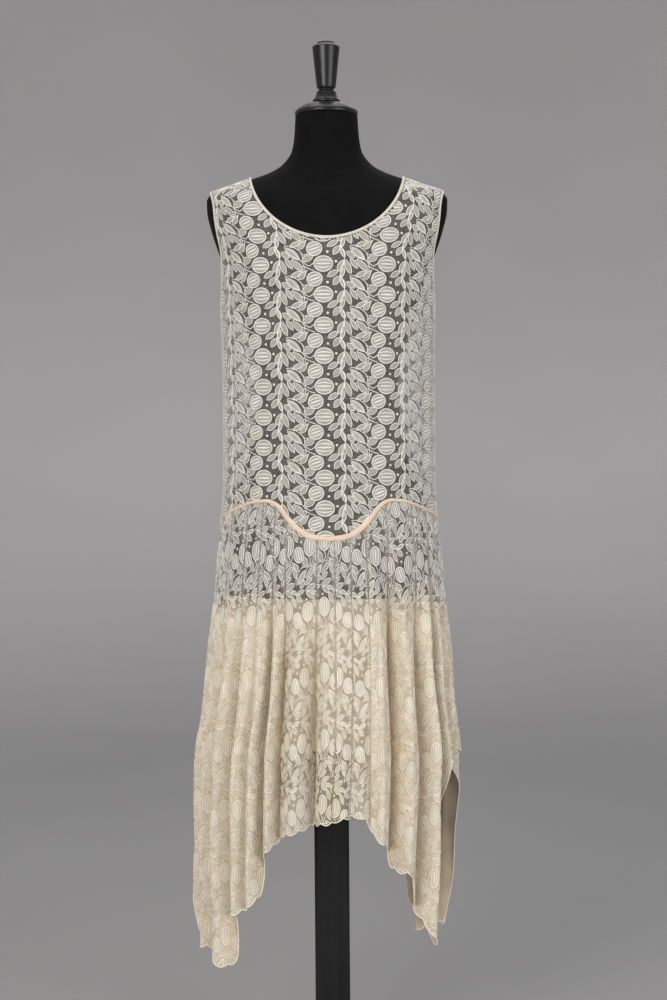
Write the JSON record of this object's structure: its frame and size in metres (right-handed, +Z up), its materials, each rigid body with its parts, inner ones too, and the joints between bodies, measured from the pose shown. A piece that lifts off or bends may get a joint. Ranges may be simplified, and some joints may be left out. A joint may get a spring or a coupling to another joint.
{
  "type": "lace dress on a dress form",
  "caption": "Sleeveless lace dress with a wavy piped hip seam and a fluted handkerchief-hem skirt over a plain underskirt, on a black limbless dress form with finial, post and base plate.",
  "frame": {"origin": "middle of the base plate's underside, on the floor", "axes": "+Z up along the post; the dress faces -Y; +X is the wearer's left"},
  "size_m": [0.4309, 0.4, 1.6784],
  "materials": {
    "lace": "cream floral lace on a fine net, matt with a soft sheen",
    "binding": "narrow cream bias binding",
    "piping": "peach folded strip, satin",
    "underskirt": "plain warm beige silk, soft sheen",
    "form_cloth": "black stretched jersey, matt",
    "black_wood": "black lacquer, semi-gloss"
  },
  "bodies": {
    "root": {"base_plate": "black_wood", "post": "black_wood", "form_body": "form_cloth", "neck_cap": "black_wood", "finial": "black_wood", "bodice_front": "lace", "bodice_back": "lace", "skirt_front": "lace", "skirt_back": "lace", "underskirt": "underskirt", "neck_binding": "binding", "armhole_binding_right": "binding", "armhole_binding_left": "binding", "hip_piping_front": "piping", "hip_piping_back": "piping"}
  },
  "joints": []
}
